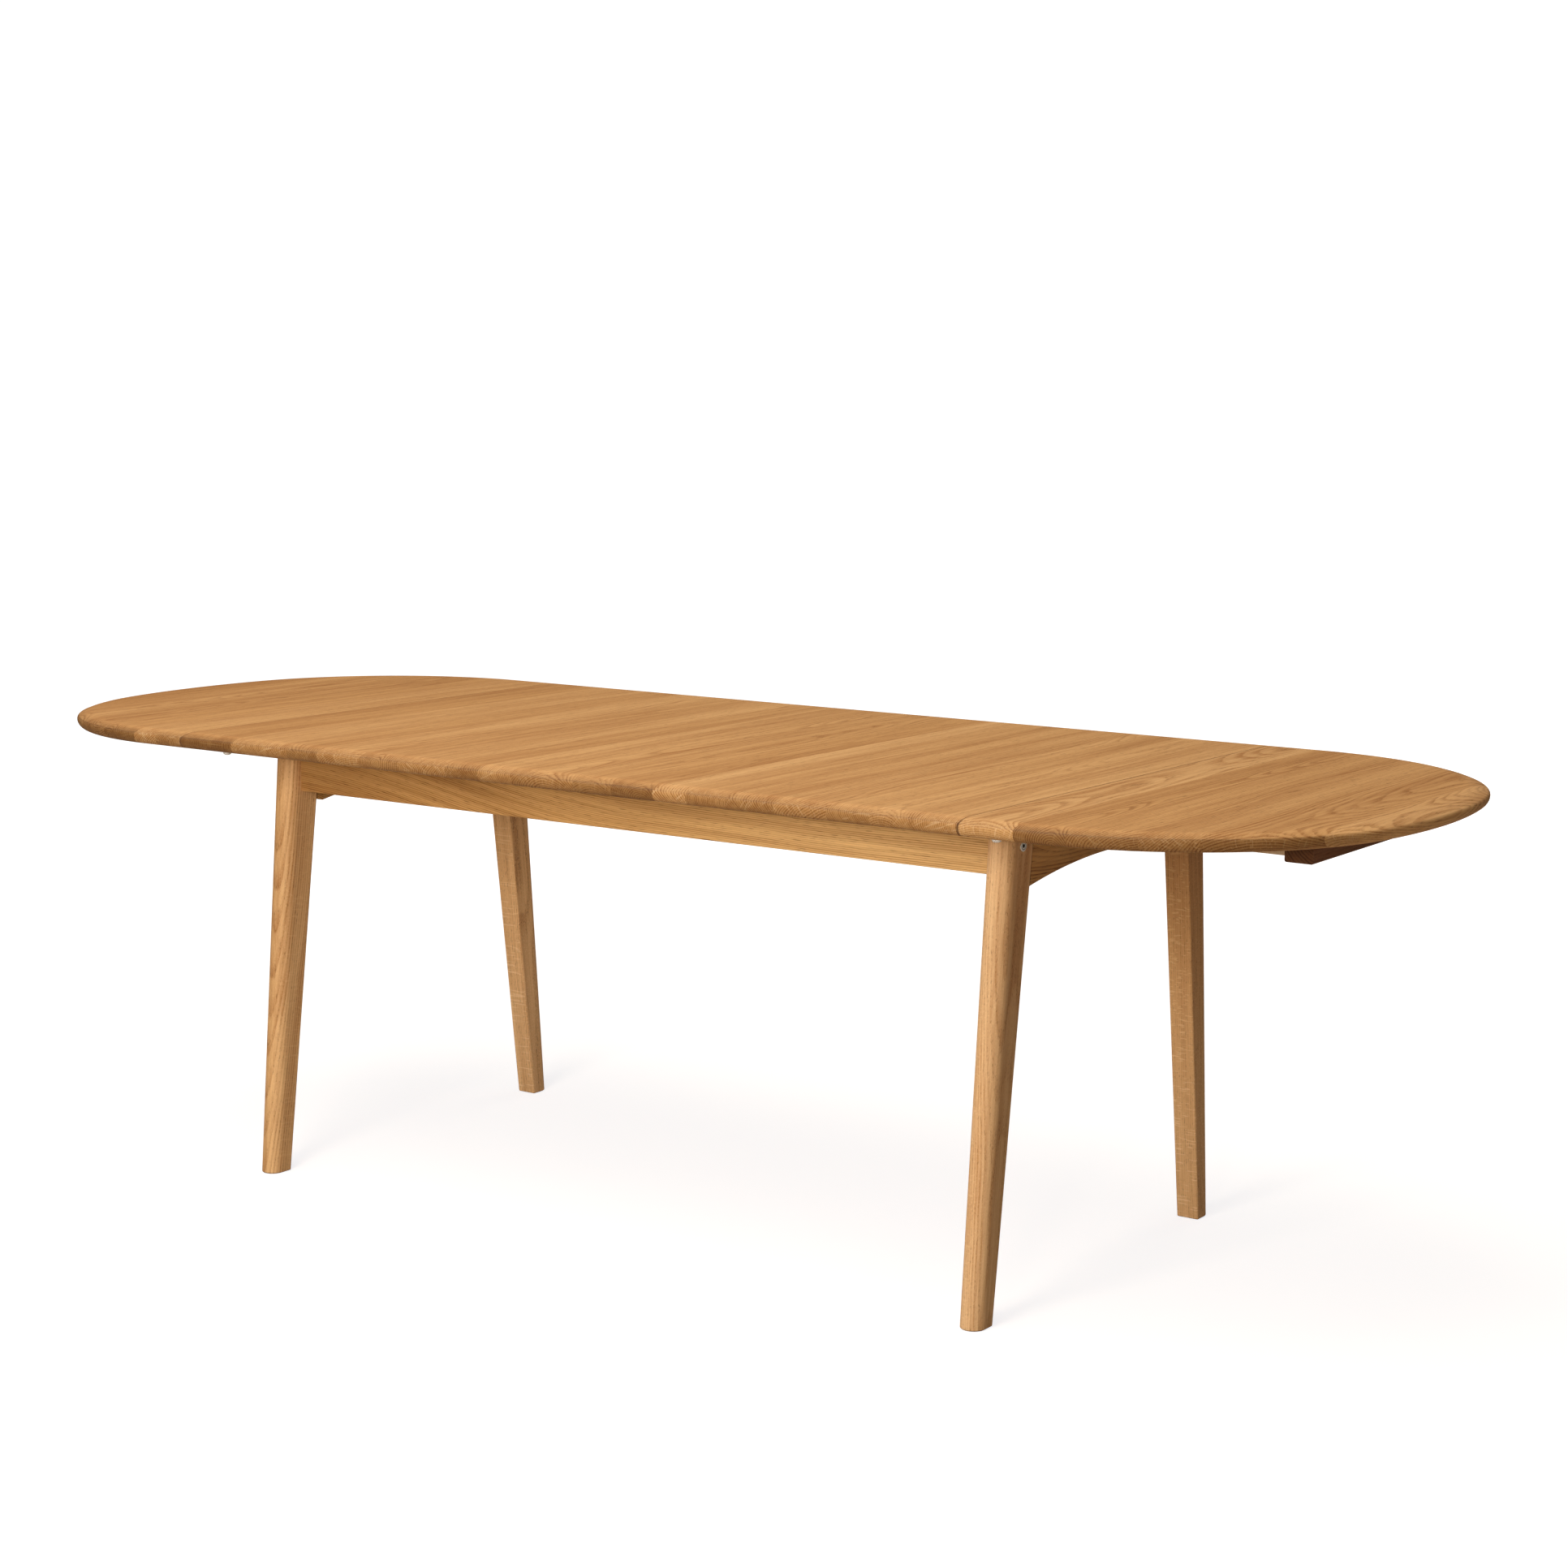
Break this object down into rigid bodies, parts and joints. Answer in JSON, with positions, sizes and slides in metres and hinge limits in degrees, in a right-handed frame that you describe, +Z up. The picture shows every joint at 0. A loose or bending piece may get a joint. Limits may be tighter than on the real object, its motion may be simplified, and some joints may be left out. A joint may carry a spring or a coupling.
{
  "type": "draw leaf table",
  "caption": "Extending oak dining table: straight main top, round-ended leaves carried on sliding draw bearers, splayed D-section legs, arched end aprons.",
  "frame": {"origin": "on the floor, under the centre of the table top", "axes": "+X along the table towards the right leaf, +Y across it towards the rear, +Z up"},
  "size_m": [2.4004, 0.945, 0.735],
  "materials": {
    "oak_top": "oiled oak, soft satin",
    "oak_leg": "oiled oak, soft satin",
    "oak_apron": "oiled oak, soft satin",
    "oak_rail": "planed oak, unfinished",
    "pale_runner": "planed pale hardwood, waxed",
    "oak_batten": "oiled oak, dark",
    "beech_small_parts": "plain beech",
    "bright_nuts": "bright plated steel",
    "steel_fittings": "plated steel"
  },
  "bodies": {
    "frame": {"main_top": "oak_top", "rear_right_leg": "oak_leg", "rear_left_leg": "oak_leg", "front_right_leg": "oak_leg", "front_left_leg": "oak_leg", "rear_apron": "oak_apron", "front_apron": "oak_apron", "right_end_apron": "oak_apron", "left_end_apron": "oak_apron", "right_cross_rail": "oak_rail", "left_cross_rail": "oak_rail", "apron_dowels": "beech_small_parts", "end_apron_dowels": "beech_small_parts", "cross_rail_dowels": "beech_small_parts", "sleeve_nuts": "bright_nuts", "threaded_rods": "steel_fittings", "barrel_nuts": "steel_fittings", "top_buttons": "beech_small_parts", "button_screws": "steel_fittings", "rest_plates": "steel_fittings", "rest_studs": "steel_fittings", "plate_screws": "steel_fittings"},
    "left_bearer": {"left_rear_runner": "pale_runner", "left_front_runner": "pale_runner", "left_batten": "oak_batten", "left_batten_dowels": "beech_small_parts", "left_stop_pins": "beech_small_parts"},
    "right_bearer": {"right_rear_runner": "pale_runner", "right_front_runner": "pale_runner", "right_batten": "oak_batten", "right_batten_dowels": "beech_small_parts", "right_stop_pins": "beech_small_parts"},
    "left_end_leaf": {"left_leaf": "oak_top", "left_leaf_dowels": "beech_small_parts"},
    "right_end_leaf": {"right_leaf": "oak_top", "right_leaf_dowels": "beech_small_parts"}
  },
  "joints": [
    {"name": "left_bearer_slide", "type": "slide", "parent": "frame", "child": "left_bearer", "axis": [1, 0, 0], "range_m": [0, 0.344]},
    {"name": "right_bearer_slide", "type": "slide", "parent": "frame", "child": "right_bearer", "axis": [-1, 0, 0], "range_m": [0, 0.344]},
    {"name": "left_leaf_pull", "type": "slide", "parent": "frame", "child": "left_end_leaf", "axis": [-1, 0, 0], "range_m": [0, 0.4]},
    {"name": "right_leaf_pull", "type": "slide", "parent": "frame", "child": "right_end_leaf", "axis": [1, 0, 0], "range_m": [0, 0.4]}
  ]
}
